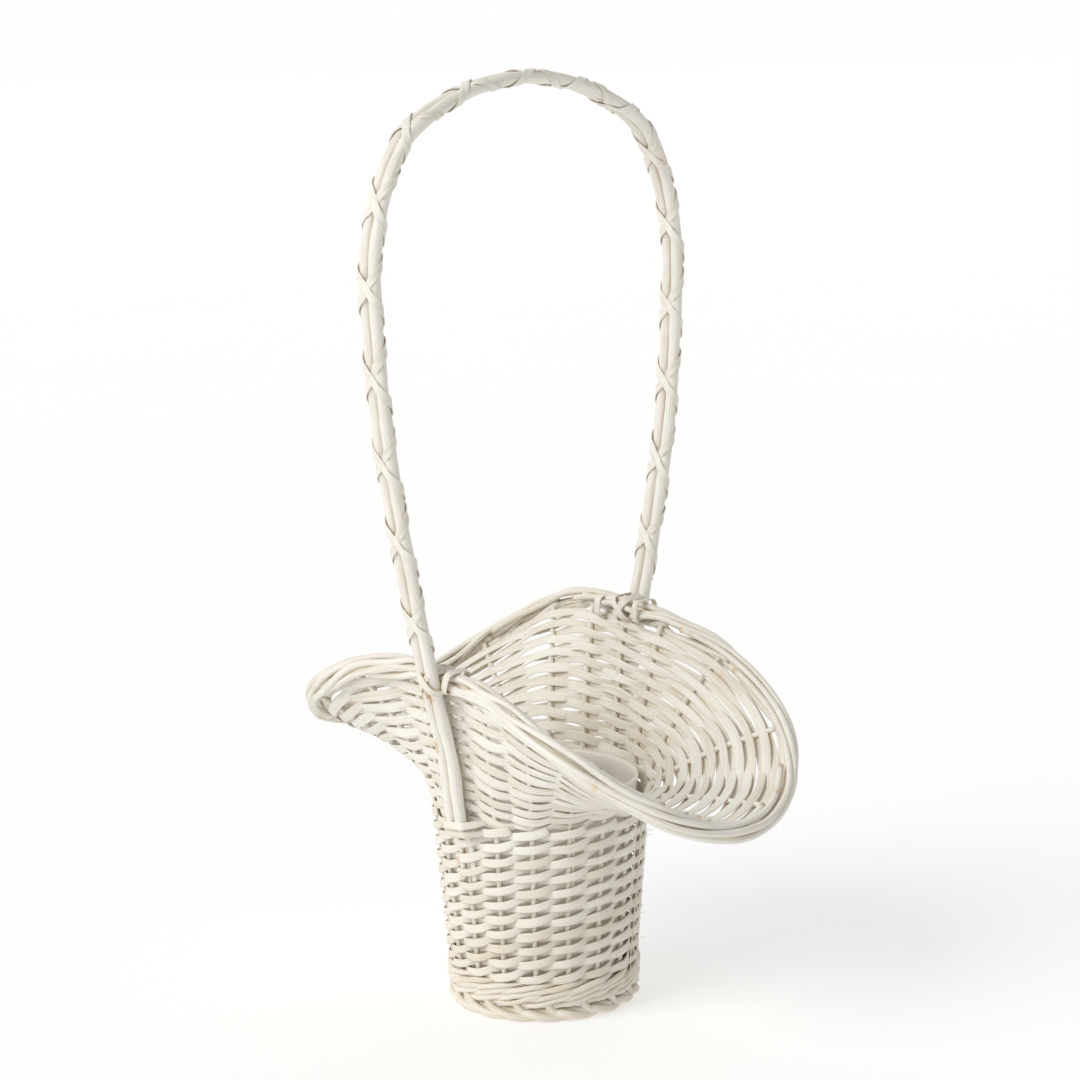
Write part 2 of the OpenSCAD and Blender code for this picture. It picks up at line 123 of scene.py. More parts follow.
RIM_ROD = 0.0036
STRAY_END = 0.0017
BARE_SPOT_Z = 0.128
WRAP_W = 0.0040
WRAP_T = 0.0008
LASHING_W = 0.0033
BORDER_IN = 0.0052
BORDER_OUT = 0.0054
BINDING_W = 0.0036
BINDING_REACH = 0.0125
LINER_WALL = 0.0009

# Points to a ring or a length --------------------------------------------------------------------

RING = 10 * STAKES
FLARE_STEPS = 33
BASE_RING = 160
HANDLE_STEPS = 420
LASHING_STEPS = 72
BINDING_STEPS = 40
LINER_SIDES = 128


# Vectors: arrays of points, one to a row ---------------------------------------------------------

def unit(v):
    return v / np.linalg.norm(v, axis=-1, keepdims=True)


def polar(angle, radius, z):
    """Points at these angles, radii and heights."""
    angle, radius, z = np.broadcast_arrays(angle, radius, z)
    return np.stack([radius * np.cos(angle), radius * np.sin(angle), z], axis=-1).astype(float)


def around(count, start=0.0, turn=TAU):
    """Angles spread evenly round one turn, without the last."""
    return start + turn * np.arange(count) / count


def smooth(x):
    """0 below 0, 1 above 1, and an S between them."""
    x = np.clip(x, 0, 1)
    return x * x * (3 - 2 * x)


def bezier(t, a, b, c, d):
    """Point on a cubic curve from a to d that leaves towards b and arrives from c."""
    return (1 - t) ** 3 * a + 3 * t * (1 - t) ** 2 * b + 3 * t * t * (1 - t) * c + t ** 3 * d


def distance_along(path):
    """Distance along an open path at each of its points."""
    return np.concatenate([[0], np.cumsum(np.linalg.norm(np.diff(path, axis=0), axis=1))])


def wobble(rng, angle, size, waves=(2, 3, 5, 8, 13)):
    """A smooth random value round a closed ring, about size in each direction."""
    parts = [rng.normal() * np.cos(k * angle + rng.uniform(0, TAU)) for k in waves]
    return size * sum(parts) / math.sqrt(len(waves))


def drift(rng, reach, size, length):
    """A smooth random value along an open strand, with waves of about this length."""
    parts = [
        rng.normal() * np.cos(TAU * reach / (length * k) + rng.uniform(0, TAU))
        for k in (0.6, 1.0, 1.7)
    ]
    return size * sum(parts) / math.sqrt(3)


# The basket's shape, as the CAD part has it except for the wings' shift -------------------------

def body_r(z):
    """Outer radius of the woven wall below the throat."""
    return LOW_R + (HIGH_R - LOW_R) * (z - WALE_TOP) / (THROAT_Z - WALE_TOP)


def mid_r(z):
    return body_r(z) - WALL / 2


def rim_r(a):
    swing = np.cos(2 * a)
    return (WING_R + SIDE_R) / 2 + (WING_R - SIDE_R) / 2 * swing + WING_BREADTH * (swing - np.cos(6 * a))


def rim_z(a):
    saddle = RIM_Z - RIM_DROOP * np.cos(2 * a) - RIM_SHOULDER * np.cos(4 * a)
    return saddle - WING_LEAN * np.cos(a) + SIDE_LEAN * np.sin(a)


def rim_point(a):
    """Middle of the border. Both wings stand a little towards +X."""
    place = polar(a, rim_r(a), rim_z(a))
    return place + WING_SHIFT * (np.cos(a) ** 2)[..., None] * np.array([1.0, 0.0, -0.15])


def rim_arrival(a):
    """Direction in which the weave arrives at the rim."""
    w = np.cos(a) ** 2
    slope = SIDE_SLOPE * (1 - w) + WING_SLOPE * w * (1 - np.cos(a))
    return polar(a, np.cos(slope), np.sin(slope))


def rim_frame(a):
    """Middle of the rim, and its directions along, to the weave's inner side, and outward."""
    along = unit(rim_point(a + 0.01) - rim_point(a - 0.01))
    inner = unit(np.cross(rim_arrival(a), along))
    return rim_point(a), along, inner, np.cross(along, inner)


def flare(a, t):
    """Middle surface of the flare, from the throat (t = 0) to its edge (t = 1)."""
    a, t = np.broadcast_arrays(np.asarray(a, float), np.asarray(t, float))
    start = polar(a, mid_r(THROAT_Z), THROAT_Z)
    lead = polar(a, mid_r(THROAT_Z + FLARE_LEAD), THROAT_Z + FLARE_LEAD)
    edge = rim_point(a) - WEAVE_EDGE * rim_arrival(a)
    span = np.linalg.norm(edge - start, axis=-1, keepdims=True)
    ease = edge - FLARE_EASE * span * rim_arrival(a)
    return bezier(t[..., None], start, lead, ease, edge)


def flare_reach(a, steps):
    """Length of the flare's wall up to each step, at each angle."""
    grid = flare(a[:, None], steps[None, :])
    reach = np.cumsum(np.linalg.norm(np.diff(grid, axis=1), axis=2), axis=1)
    return np.concatenate([np.zeros((len(a), 1)), reach], axis=1)


def wall_place(a, share):
    """Place in the flare, and its directions outward and up, at a share of the way up the weave."""
    steps = np.linspace(0, 1, FLARE_STEPS)
    reach = flare_reach(a, steps)
    share = np.broadcast_to(share, a.shape)
    t = np.array([np.interp(s * r[-1], r, steps) for s, r in zip(share, reach)])
    low, high = np.maximum(t - 0.02, 0), np.minimum(t + 0.02, 1)
    up = unit(flare(a, high) - flare(a, low))
    along = unit(flare(a + 0.01, t) - flare(a - 0.01, t))
    return flare(a, t), unit(np.cross(along, up)), up


def body_place(a, z):
    """Place in the body's wall, and its directions outward and up."""
    lean = (HIGH_R - LOW_R) / (THROAT_Z - WALE_TOP)
    up = unit(polar(a, lean, 1.0))
    along = unit(polar(a + math.pi / 2, 1.0, 0.0))
    return polar(a, mid_r(z), z), unit(np.cross(along, up)), up


# Making strands ----------------------------------------------------------------------------------

def rod_section(sides=10):
    turn = around(sides)
    return np.stack([np.cos(turn), np.sin(turn)], axis=1) / 2


def strip_section(sides=14, flat=0.5, back=0.65):
    """A split rod: crowned on the bark side (+y), flatter behind, with soft edges."""
    turn = around(sides)
    c, s = np.cos(turn), np.sin(turn)
    x = np.sign(c) * np.abs(c) ** flat
    y = np.sign(s) * np.abs(s) ** 0.85 * np.where(s > 0, 1.0, back)
    return np.stack([x, y], axis=1) / 2


class Strands:
    """Rods and strips swept along their paths, gathered into one mesh.

    The UV map "Strand" holds metres along and across each strand. The attribute tone is a random
    value for each strand, and bare says how far its paint is missing."""

    def __init__(self, seed):
        self.rng = np.random.default_rng(seed)
        self.verts, self.faces, self.uvs, self.tones, self.bares = [], [], [], [], []
        self.count = 0

    def sweep(self, path, out, section, width, depth, closed=False, tilt=0.0, bare=0.0, caps=True):
        """Sweeps a section along path. Its y axis points to out, and its x axis across the strand."""
        n, k = len(path), len(section)
        if closed:
            along = unit(np.roll(path, -1, axis=0) - np.roll(path, 1, axis=0))
        else:
            along = unit(np.gradient(path, axis=0))
        out = unit(out - (out * along).sum(-1, keepdims=True) * along)
        across = np.cross(out, along)
        tilt = np.broadcast_to(tilt, (n,))[:, None]
        out, across = (
            np.cos(tilt) * out + np.sin(tilt) * across,
            np.cos(tilt) * across - np.sin(tilt) * out,
        )
        width = np.broadcast_to(width, (n,))[:, None, None]
        depth = np.broadcast_to(depth, (n,))[:, None, None]
        rings = (
            path[:, None, :]
            + width * section[None, :, :1] * across[:, None, :]
            + depth * section[None, :, 1:] * out[:, None, :]
        )
        steps = np.linalg.norm(np.diff(path, axis=0, append=path[:1]), axis=1)
        reach = np.concatenate([[0], np.cumsum(steps)])
        girth = np.linalg.norm(section - np.roll(section, -1, axis=0), axis=1)
        girth = np.concatenate([[0], np.cumsum(girth)]) * float(np.mean(width))
        start = self.rng.uniform(0, 3)
        i = np.repeat(np.arange(n if closed else n - 1), k)
        j = np.tile(np.arange(k), n if closed else n - 1)
        i2, j2 = (i + 1) % n, (j + 1) % k
        quads = np.stack([i * k + j, i * k + j2, i2 * k + j2, i2 * k + j], axis=1) + self.count
        u0, u1 = start + reach[i], start + reach[i + 1]
        v0, v1 = girth[j], girth[j + 1]
        uv = np.stack([u0, v0, u0, v1, u1, v1, u1, v0], axis=1).reshape(-1, 2)
        self.verts.append(rings.reshape(-1, 3))
        self.faces += quads.tolist()
        self.uvs.append(uv)
        if not closed and caps:
            self.faces.append([self.count + m for m in reversed(range(k))])
            self.faces.append([self.count + (n - 1) * k + m for m in range(k)])
            self.uvs.append(np.tile(np.array([[start, 0.0]]), (2 * k, 1)))
        self.tones.append(np.full(n * k, self.rng.uniform()))
        bare = np.asarray(bare, float)
        bare = bare[:, None] if bare.ndim == 1 else bare
        self.bares.append(np.broadcast_to(bare, (n, k)).ravel())
        self.count += n * k

    def mesh(self, name):
        data = bpy.data.meshes.new(name)
        data.from_pydata(np.concatenate(self.verts).tolist(), [], self.faces)
        layer = data.uv_layers.new(name="Strand")
        layer.data.foreach_set("uv", np.concatenate(self.uvs).ravel())
        for title, values in (("tone", self.tones), ("bare", self.bares)):
            data.attributes.new(title, "FLOAT", "POINT").data.foreach_set("value", np.concatenate(values))
        data.polygons.foreach_set("use_smooth", [True] * len(data.polygons))
        data.update()
        return data


def piece(name, strands, material, slot, body, *nodes):
    """Makes the strands a piece that stands for these CAD nodes and rides on this body."""
    data = strands.mesh(name) if isinstance(strands, Strands) else strands
    data.materials.append(material)
    obj = bpy.data.objects.new(name, data)
    bpy.context.scene.collection.objects.link(obj)
    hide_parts(*nodes)
    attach(obj, body)
    return obj


ROD = rod_section()
FINE_ROD = rod_section(12)
STRIP = strip_section()


# Materials ---------------------------------------------------------------------------------------

class Nodes:
    """Short words for building a material's node tree."""

    def __init__(self, name):
        self.material = bpy.data.materials.new(name)
        self.material.use_nodes = True
        self.tree = self.material.node_tree
        self.shader = self.tree.nodes["Principled BSDF"]

    def link(self, source, target):
        self.tree.links.new(source, target)

    def add(self, kind, settings=(), **inputs):
        node = self.tree.nodes.new("ShaderNode" + kind)
        for key, value in dict(settings).items():
            setattr(node, key, value)
        for key, value in inputs.items():
            socket = node.inputs[int(key[1:])] if key[0] == "i" and key[1:].isdigit() else node.inputs[key]
            if isinstance(value, bpy.types.NodeSocket):
                self.link(value, socket)
            else:
                socket.default_value = value
        return node

    def math(self, kind, a, b=0.0, clamp=False):
        return self.add("Math", {"operation": kind, "use_clamp": clamp}, i0=a, i1=b).outputs[0]

    def ramp(self, value, low, high, smooth_step=True):
        """0 where value is low or less, 1 where it is high or more."""
        settings = {"interpolation_type": "SMOOTHSTEP" if smooth_step else "LINEAR"}
        return self.add("MapRange", settings, i0=value, i1=low, i2=high).outputs[0]

    def mix(self, share, a, b):
        node = self.tree.nodes.new("ShaderNodeMix")
        node.data_type = "RGBA"
        for socket, value in zip((node.inputs[0], node.inputs[6], node.inputs[7]), (share, a, b)):
            if isinstance(value, bpy.types.NodeSocket):
                self.link(value, socket)
            else:
                socket.default_value = value
        return node.outputs[2]

    def noise(self, vector, scale, detail=2.0, rough=0.5):
        return self.add("TexNoise", Vector=vector, Scale=scale, Detail=detail, Roughness=rough).outputs[0]

    def value(self, title):
        return self.add("Attribute", {"attribute_name": title}).outputs["Fac"]


PAINT = (0.845, 0.822, 0.765, 1)
SHADE = (0.77, 0.735, 0.655, 1)
THIN_PAINT = (0.66, 0.59, 0.47, 1)
WARM_STRAND = (0.70, 0.65, 0.55, 1)
LOW_BODY = (0.66, 0.57, 0.43, 1)
# The next two colours are painted shade for the crevices, partly bare wood as well.
CREVICE_SHADE_AND_WOOD = (0.79, 0.68, 0.50, 1)
DEEP_CREVICE_SHADE_AND_WOOD = (0.40, 0.25, 0.13, 1)
WOOD = (0.62, 0.40, 0.22, 1)
LINER_PALE = (0.985, 0.935, 0.82, 1)
LINER_CLOUD = (0.93, 0.855, 0.71, 1)


def painted_willow(name, grain, bump, roughness):
    """Willow under thin off-white paint, with painted shade in its crevices, which are partly bare wood
    too, and rubbed off here and there down to the wood. grain is how many fibres there are to a metre
    across a strand."""
    n = Nodes(name)
    tone, bare = n.value("tone"), n.value("bare")
    strand = n.add("UVMap", {"uv_map": "Strand"}).outputs[0]
    split = n.add("SeparateXYZ", Vector=strand)
    lengthwise = n.math("MULTIPLY", split.outputs[0], 45.0)
    fibres = n.math("MULTIPLY", split.outputs[1], grain)
    seed = n.math("MULTIPLY", tone, 53.0)
    along = n.add("CombineXYZ", X=lengthwise, Y=fibres, Z=seed).outputs[0]
    place = n.add("TexCoord").outputs["Object"]

    streaks = n.noise(along, 1.0, 4.0, 0.6)
    clouds = n.noise(place, 55.0, 3.0, 0.55)
    specks = n.noise(place, 900.0, 2.0, 0.6)

    # Paint: clouded, thinner along some fibres, and a little warmer on some strands.
    thin = n.ramp(n.math("ADD", streaks, n.math("MULTIPLY", tone, 0.12)), 0.50, 0.72)
    colour = n.mix(n.math("MULTIPLY", n.ramp(clouds, 0.35, 0.7), 0.55), PAINT, SHADE)
    colour = n.mix(n.math("MULTIPLY", thin, 0.72), colour, THIN_PAINT)
    colour = n.mix(n.math("MULTIPLY", n.math("POWER", tone, 2.0), 0.38), colour, WARM_STRAND)

    # The body is mixed darker and tanner towards the bottom.
    height = n.add("SeparateXYZ", Vector=place).outputs[2]
    lowness = n.math("SUBTRACT", 1.0, n.ramp(height, 0.015, 0.105))
    colour = n.mix(n.math("MULTIPLY", lowness, 0.26), colour, LOW_BODY)

    # Painted shade: crevices found by occlusion are mixed tan, and brown where deepest; partly bare wood
    # too.
    hidden = n.add("AmbientOcclusion", {"samples": 6}, Distance=0.0042).outputs["AO"]
    depth = n.math("SUBTRACT", 1.0, hidden)
    depth = n.math("ADD", depth, n.math("MULTIPLY", n.math("SUBTRACT", clouds, 0.5), 0.30))
    colour = n.mix(n.math("MULTIPLY", n.ramp(depth, 0.35, 0.90), 0.70), colour, CREVICE_SHADE_AND_WOOD)
    colour = n.mix(n.math("MULTIPLY", n.ramp(depth, 0.93, 1.12), 0.6), colour, DEEP_CREVICE_SHADE_AND_WOOD)

    # Nicks, and cut ends and a rubbed spot without paint.
    nick = n.ramp(n.math("ADD", clouds, n.math("MULTIPLY", streaks, 0.45)), 0.93, 0.97)
    nick = n.math("MULTIPLY", nick, n.ramp(specks, 0.35, 0.5))
    colour = n.mix(n.math("MULTIPLY", nick, 0.85), colour, WOOD)
    colour = n.mix(n.math("MULTIPLY", bare, n.ramp(specks, 0.3, 0.5)), colour, WOOD)
    n.link(colour, n.shader.inputs["Base Color"])

    dull = n.math("MULTIPLY", n.ramp(depth, 0.3, 0.9), 0.25)
    gloss = n.math("ADD", n.math("MULTIPLY", streaks, 0.18), roughness - 0.09)
    n.link(n.math("ADD", gloss, dull, clamp=True), n.shader.inputs["Roughness"])

    relief = n.math("ADD", n.math("MULTIPLY", streaks, 0.8), n.math("MULTIPLY", specks, 0.25))
    ripple = n.add("Bump", Strength=bump, Distance=0.0004, Height=relief)
    n.link(ripple.outputs[0], n.shader.inputs["Normal"])
    n.shader.inputs["Specular IOR Level"].default_value = 0.42
    return n.material


def liner_film(name):
    """Thin milky plastic, a little uneven, with a clouded and dusty look."""
    n = Nodes(name)
    place = n.add("TexCoord").outputs["Object"]
    clouds = n.noise(place, 60.0, 3.0, 0.6)
    dust = n.noise(place, 1400.0, 3.0, 0.7)
    colour = n.mix(n.ramp(clouds, 0.3, 0.75), LINER_PALE, LINER_CLOUD)
    n.link(colour, n.shader.inputs["Base Color"])
    n.link(n.math("ADD", n.math("MULTIPLY", dust, 0.16), 0.22), n.shader.inputs["Roughness"])
    relief = n.math("ADD", n.math("MULTIPLY", clouds, 1.0), n.math("MULTIPLY", dust, 0.06))
    ripple = n.add("Bump", Strength=0.35, Distance=0.0012, Height=relief)
    n.link(ripple.outputs[0], n.shader.inputs["Normal"])
    n.shader.inputs["Subsurface Weight"].default_value = 0.85
    n.shader.inputs["Subsurface Radius"].default_value = (1.0, 1.0, 1.0)
    n.shader.inputs["Subsurface Scale"].default_value = 0.008
    n.shader.inputs["IOR"].default_value = 1.45
    return n.material


flat_paint = painted_willow("painted_split_willow", grain=2600.0, bump=0.50, roughness=0.50)
rod_paint = painted_willow("painted_willow_rod", grain=1500.0, bump=0.60, roughness=0.44)
film = liner_film("milky_liner_plastic")


# Body and flare weave ----------------------------------------------------------------------------

def over_under(wave, swing):
    """How far the strip lies outside the wall's middle, with quick dives between the stakes. It is
    pulled tighter against the stakes on the inside."""
    return swing * np.where(wave > 0, 1.0, 0.78) * np.sign(wave) * np.abs(wave) ** 0.75


def leg_nearness(a, half=0.16):
    """1 at the handle's feet, falling to 0 beside them."""
    off = np.abs(np.abs(np.arctan2(np.sin(a), np.cos(a))) - math.pi / 2)
    return smooth(1 - off / half)


def body_weave():
    """French randing: one strip from each stake. Each goes over a stake and under the next, and
    climbs one row from stake to stake, so that it reaches the throat after a turn and a bit."""
    strands = Strands(11)
    rng = strands.rng
    low = WALE_TOP - 0.0004
    pitch = (THROAT_Z - low) / BODY_ROWS
    end = BODY_ROWS - 0.55
    for i in range(STAKES):
        level = np.linspace(-0.45, end, int((end + 0.45) * 12))
        a = FIRST_STAKE + (i + level) * STEP
        wave = -np.cos(math.pi * level)
        climb = level - 0.35 * np.sin(TAU * level) / TAU
        z = low + pitch * (np.maximum(climb, -0.1) + 0.5) - 0.00045 * wave
        z = z + drift(rng, level, 0.00022, 3.1) + drift(rng, level, 0.00010, 0.9)
        place, out, _ = body_place(a, z)
        bulge = 0.0012 * leg_nearness(a) * smooth((z - 0.056) / 0.02)
        place = place + (0.0005 + bulge)[:, None] * out
        lift = over_under(wave, 0.00170) * (1 + drift(rng, level, 0.08, 2.0))
        swell = 0.88 + 0.12 * np.maximum(-0.2, -1.2 * wave) + 0.08 * np.abs(wave)
        width = BODY_STRIP_W * swell * (1 + drift(rng, level, 0.07, 3.7))
        width = width * (1 + 0.05 * rng.normal()) * smooth((level + 1.2) / 0.8)
        tilt = 0.12 * wave + drift(rng, level, 0.09, 2.3)
        strands.sweep(place + lift[:, None] * out, out, STRIP, width, STRIP_T, tilt=tilt)
    piece("body_weavers", strands, flat_paint, "painted_weaver", "basket", "body_weave")


def flare_weave():
    """Plain rounds of strip. On the near side they sag between the handle and the wings, where the
    lowest tuck in at the throat."""
    strands = Strands(23)
    rng = strands.rng
    a = around(RING)
    phase = math.pi * (a - FIRST_STAKE) / STEP
    tall = flare_reach(a, np.linspace(0, 1, FLARE_STEPS))[:, -1]
    near = (1 - np.sin(a)) / 2
    dip = np.where(np.cos(a) > 0, np.abs(np.sin(2 * a)) ** 1.2, 0.5 * np.sin(2 * a) ** 2)
    sag = FLARE_SAG * (2.1 * near ** 2 * dip - 0.35 * (1 - near))
    broadest = FLARE_STRIP_W - 0.0006 * np.cos(a) * np.abs(np.cos(a))

    def share_at(row):
        even = (row + 0.5) / FLARE_ROWS
        return even - sag * (4 * even + 0.4) * (1 - even) + 0.012 * np.cos(a) ** 2

    for row in range(FLARE_ROWS):
        share = share_at(row) + wobble(rng, a, 0.005, (1, 2, 3, 5))
        tucked = smooth((0.03 - share) / 0.05)
        share = np.clip(share, 0.01 + 0.002 * row, 0.996)
        place, out, up = wall_place(a, share)
        wave = np.cos(phase) * (-1) ** row
        slant = np.sin(phase) * (-1) ** row
        wing = np.cos(a) ** 2 * smooth(np.array(row / 5))
        lift = over_under(wave, 0.00150 + 0.0003 * wing - 0.0002 * near)
        lift = lift * (1 + wobble(rng, a, 0.07, (5, 11, 17)))
        lift = lift * (1 - 0.5 * tucked) - 0.0011 * tucked
        shift = -(0.0004 + 0.0005 * wing) * wave - 0.0006 * slant
        shift = shift + wobble(rng, a, 0.00030, (5, 9, 14)) + wobble(rng, a, 0.00014, (19, 27))
        spacing = tall * (share_at(row + 0.5) - share_at(row - 0.5))
        width = np.clip((1.3 + 0.15 * near) * spacing, FLARE_STRIP_MIN_W, broadest)
        width = width * (0.9 + 0.1 * np.abs(wave)) * (1 + wobble(rng, a, 0.06, (3, 7, 12, 18)))
        width = width * (1 - 0.25 * tucked) * (1 + 0.05 * rng.normal())
        tilt = 0.14 * wave + wobble(rng, a, 0.09, (4, 9, 15))
        path = place + lift[:, None] * out + shift[:, None] * up
        strands.sweep(path, out, STRIP, width, STRIP_T, closed=True, tilt=tilt)
    piece("flare_weavers", strands, flat_paint, "painted_weaver", "basket", "flare_weave")


# Stakes ------------------------------------------------------------------------------------------

def stake_path(a, steps=26):
    """Middle line of a stake, from the base through the body and the flare to the border."""
    z = np.linspace(BASE_Z + 0.0008, THROAT_Z - 0.003, 8)
    low = polar(a, mid_r(z), z)
    place, _, _ = wall_place(np.full(steps, a), np.linspace(0.02, 1, steps))
    top = rim_point(a) - STAKE_EDGE * rim_arrival(a)
    return np.concatenate([low, place, top[None, :]])


def stakes():
    """The round rods that the strips are woven on."""
    for i in range(STAKES):
        strands = Strands(100 + i)
        rng = strands.rng
        a = FIRST_STAKE + i * STEP
        path = stake_path(a)
        reach = distance_along(path)
        side = np.array([-math.sin(a), math.cos(a), 0.0])
        path = path + drift(rng, reach, 0.00035, 0.05)[:, None] * side
        thick = 2 * STAKE_R * (1 + drift(rng, reach, 0.03, 0.03))
        strands.sweep(path, np.tile(side, (len(path), 1)), ROD, thick, thick)
        name = f"stake_{i + 1:02d}"
        piece(name + "_rod", strands, rod_paint, "painted_rod", "basket", name)


def whiskers():
    """Fibres that have frayed from the strips at the body's side, one that hangs down along it, and
    a short stake beside another."""
    strands = Strands(160)
    rng = strands.rng
    z = np.linspace(THROAT_Z - 0.030, THROAT_Z - 0.002, 12)
    a = FIRST_STAKE + 12 * STEP + 0.042 + 0 * z
    strands.sweep(polar(a, mid_r(z) + 0.0002, z), polar(a, 1.0, 0.0), ROD, 0.0017, 0.0017)
    for _ in range(10):
        a = math.radians(rng.uniform(5, 60))
        z = rng.uniform(WALE_TOP, THROAT_Z - 0.01)
        t = np.linspace(0, 1, 7)
        reach = rng.uniform(0.001, 0.003)
        bend = rng.normal() * 0.03
        path = polar(a + bend * t, body_r(z) + 0.0002 + reach * t, z - 0.3 * reach * t ** 2 * rng.normal())
        strands.sweep(path, np.tile(UPWARD, (len(t), 1)), ROD, 0.00035 * (1.2 - t), 0.0002)
    z = np.linspace(0.012, THROAT_Z - 0.001, 60)
    a = 0.28 + 0.9 * z + drift(rng, z, 0.012, 0.03)
    strands.sweep(polar(a, body_r(z) + 0.0007, z), polar(a, 1.0, 0.0), ROD, 0.00055, 0.0005)
    piece("frayed_fibres", strands, flat_paint, "painted_weaver", "basket", "body_weave")


# Bottom wale and foot ----------------------------------------------------------------------------

def bottom_wale():
    """Three rounds of three-rod wale: each rod goes in front of two stakes and behind the third."""
    strands = Strands(37)
    rng = strands.rng
    a = around(RING)
    pitch = (WALE_TOP - BASE_Z) / WALE_ROUNDS
    for row in range(WALE_ROUNDS):
        for rod in range(3):
            phase = ((a - FIRST_STAKE) / STEP + rod + row) % 3
            swing = np.interp(phase, [0, 0.55, 1, 2, 2.45, 3], [-0.0022, 0.0, 0.0023, 0.0024, 0.0, -0.0022])
            for _ in range(2):
                swing = (np.roll(swing, 1) + np.roll(swing, -1) + swing) / 3
            rise = np.interp(phase, [0, 0.5, 1, 2, 2.5, 3], [0, -0.0021, -0.0018, 0.0018, 0.0021, 0])
            z = BASE_Z + (row + 0.5) * pitch + rise + wobble(rng, a, 0.00022, (3, 7, 11, 17))
            thick = WALE_ROD * (1 + wobble(rng, a, 0.10, (4, 9, 15)))
            path = polar(a, mid_r(z) + swing + wobble(rng, a, 0.0002, (3, 8, 13)), z)
            strands.sweep(path, polar(a, 1.0, 0.0), ROD, thick, thick, closed=True)
    piece("bottom_wale_rods", strands, rod_paint, "painted_rod", "basket", "bottom_wale")


def foot_border():
    """The stakes' lower ends, plaited under: each runs round the foot past three others."""
    strands = Strands(41)
    rng = strands.rng
    before = 0.16
    for i in range(STAKES):
        s = np.linspace(-before, FOOT_STAKES, 40)
        a = FIRST_STAKE + (i + 0.5) * STEP + s * STEP + rng.normal() * 0.035
        turn = math.radians(75) - TAU * s / 3
        hug = smooth(s / 0.45) * smooth((FOOT_STAKES + 0.1 - s) / 0.5)
        r = FOOT_R + 0.00195 * np.cos(turn) * hug
        entry = 1 - smooth((s + before) / 0.42)
        z = 0.00325 + 0.00165 * np.sin(turn) * hug + 0.0062 * entry
        r = r + 0.0012 * entry
        taper = 1 - 0.25 * np.clip(s, 0, FOOT_STAKES) / FOOT_STAKES
        thick = FOOT_ROD * taper * (1 + drift(rng, s, 0.05, 1.2))
        path = polar(a, r, np.maximum(z, thick / 2 + 0.00002))
        strands.sweep(path, polar(a, 1.0, 0.0), ROD, thick, thick)
    nodes = ("foot_border_inner", "foot_border_outer", "foot_border_upper", "foot_stakes")
    piece("foot_border_plait", strands, rod_paint, "painted_rod", "basket", *nodes)


# Base --------------------------------------------------------------------------------------------

def base_sticks():
    """Two sets of four sticks, crossed at the middle and spread into sixteen spokes."""
    z_low = BASE_Z + 0.0019
    z_high = z_low + 0.0027
    for name, turn, z in (("base_sticks_lower", 0.0, z_low), ("base_sticks_upper", math.pi / 2, z_high)):
        strands = Strands(51 + int(z > z_low))
        for k in (-1.5, -0.5, 0.5, 1.5):
            r = np.linspace(-1, 1, 41) * STICK_REACH
            spread = SPOKE_STEP * k
            ease = smooth((np.abs(r) - 0.0075) / 0.012)
            x = r * (1 - ease) + r * math.cos(spread) * ease
            y = STICK_GAP * k * (1 - ease) + np.abs(r) * math.sin(spread) * ease
            level = z + (z_low + 0.00135 - z) * ease
            path = np.stack([x * math.cos(turn) - y * math.sin(turn),
                             x * math.sin(turn) + y * math.cos(turn), level], axis=1)
            strands.sweep(path, np.tile(UPWARD, (len(path), 1)), ROD, STICK, STICK)
        piece(name + "_rods", strands, rod_paint, "painted_rod", "basket", name)


def base_weave():
    """Rounds of pairing: two rods to a round, one over and one under each spoke."""
    strands = Strands(57)
    rng = strands.rng
    a = around(BASE_RING)
    out = np.tile(UPWARD, (BASE_RING, 1))
    middle = BASE_Z + 0.0032
    first_r, last_r = 0.0135, BASE_R - 0.0011
    for row in range(PAIRING_ROUNDS):
        r = first_r + row * (last_r - first_r) / (PAIRING_ROUNDS - 1)
        for rod in (0, 1):
            phase = math.pi * (a - SPOKE_STEP / 2) / SPOKE_STEP + math.pi * (rod + row)
            z = middle + 0.0018 * np.cos(phase)
            waved_r = r + 0.0005 * np.sin(phase) + wobble(rng, a, 0.0001)
            thick = PAIRING_ROD * (1 + wobble(rng, a, 0.05))
            strands.sweep(polar(a, waved_r, z), out, ROD, thick, thick, closed=True)
    for row in range(2):
        r = 0.0093 + 0.0021 * row
        for rod in (0, 1):
            wave = np.cos(2 * a + math.pi * rod)
            z = middle + 0.0027 * np.sign(wave) * np.abs(wave) ** 0.6
            corner = 1 + 0.05 * np.cos(4 * a)
            strands.sweep(polar(a, r * corner, z), out, ROD, HUB_ROD, HUB_ROD, closed=True)
    piece("base_weave_rods", strands, rod_paint, "painted_rod", "basket", "base_weave")


# Rim ---------------------------------------------------------------------------------------------

def rim_strand(strands, first, reach, lead, thick, apart, end_bare):
    """One rod of the border. It runs round the rim past as many stakes as reach says, at this
    distance from the border's middle, twists once about it in lead stakes, and is cut off on the
    inner side."""
    rng = strands.rng
    s = np.linspace(-0.1, reach, int(reach * 15))
    a = first + s * STEP
    middle, _, inner, outward = rim_frame(a)
    turn = math.radians(250) - TAU * s / lead + drift(rng, s, 0.27, 2.1)
    start = smooth((s + 0.1) / 0.5)
    end = smooth((s - reach + 0.55) / 0.55)
    apart = apart * start * (1 + drift(rng, s, 0.09, 1.4))
    n = apart * 0.80 * np.cos(turn) + 0.0016 * end
    b = apart * np.sin(turn) + 0.0002
    thick = thick * (1 - 0.3 * np.clip(s / lead, 0, 1)) * (1 + drift(rng, s, 0.045, 1.1))
    path = middle + n[:, None] * inner + b[:, None] * outward
    strands.sweep(path, outward, ROD, thick, thick, bare=end_bare * (s > reach - 0.03))


